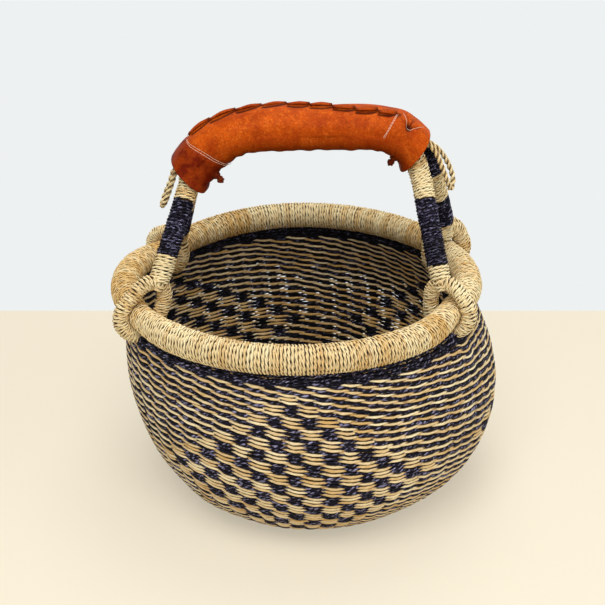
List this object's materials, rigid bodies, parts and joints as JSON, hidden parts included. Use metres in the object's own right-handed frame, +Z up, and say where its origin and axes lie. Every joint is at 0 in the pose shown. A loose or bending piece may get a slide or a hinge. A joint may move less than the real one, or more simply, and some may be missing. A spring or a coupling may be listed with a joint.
{
  "type": "woven basket",
  "caption": "Round hand-woven grass market basket with a wrapped rim and a twin-arch carrying handle with a laced leather grip.",
  "frame": {"origin": "middle of the flat base, on the surface that the basket stands on", "axes": "+Z up, +X to the right along the handle's grip, -Y towards the viewer"},
  "size_m": [0.3176, 0.306, 0.3312],
  "materials": {
    "patterned_weave": "twined grass, pale and dark strands",
    "dyed_strand": "dark dyed grass strand, dull sheen",
    "straw_strand": "natural grass strand, dull sheen",
    "stalk_bundle": "dry stalks",
    "grip_leather": "worn tan leather, half matt",
    "dark_leather": "dark edge of tan leather",
    "grass_cord": "twisted grass cord"
  },
  "bodies": {
    "root": {"base_mat": "patterned_weave", "wall_weave": "patterned_weave", "border_weave": "dyed_strand", "rim_core": "stalk_bundle", "rim_wrap_right": "straw_strand", "rim_wrap_back": "straw_strand", "rim_wrap_left": "straw_strand", "rim_wrap_front": "straw_strand", "near_left_foot": "straw_strand", "near_right_foot": "straw_strand", "far_left_foot": "straw_strand", "far_right_foot": "straw_strand", "near_left_dyed_band": "dyed_strand", "near_right_dyed_band": "dyed_strand", "far_left_dyed_band": "dyed_strand", "far_right_dyed_band": "dyed_strand", "near_arch_core": "stalk_bundle", "far_arch_core": "stalk_bundle", "near_arch_wrap": "straw_strand", "far_arch_wrap": "straw_strand", "grip_padding": "stalk_bundle", "leather_sleeve": "grip_leather", "seam_lace": "grip_leather", "left_thong_knot": "dark_leather", "right_thong_knot": "dark_leather", "left_cord_loop": "grass_cord", "right_cord_loop": "grass_cord"}
  },
  "joints": []
}
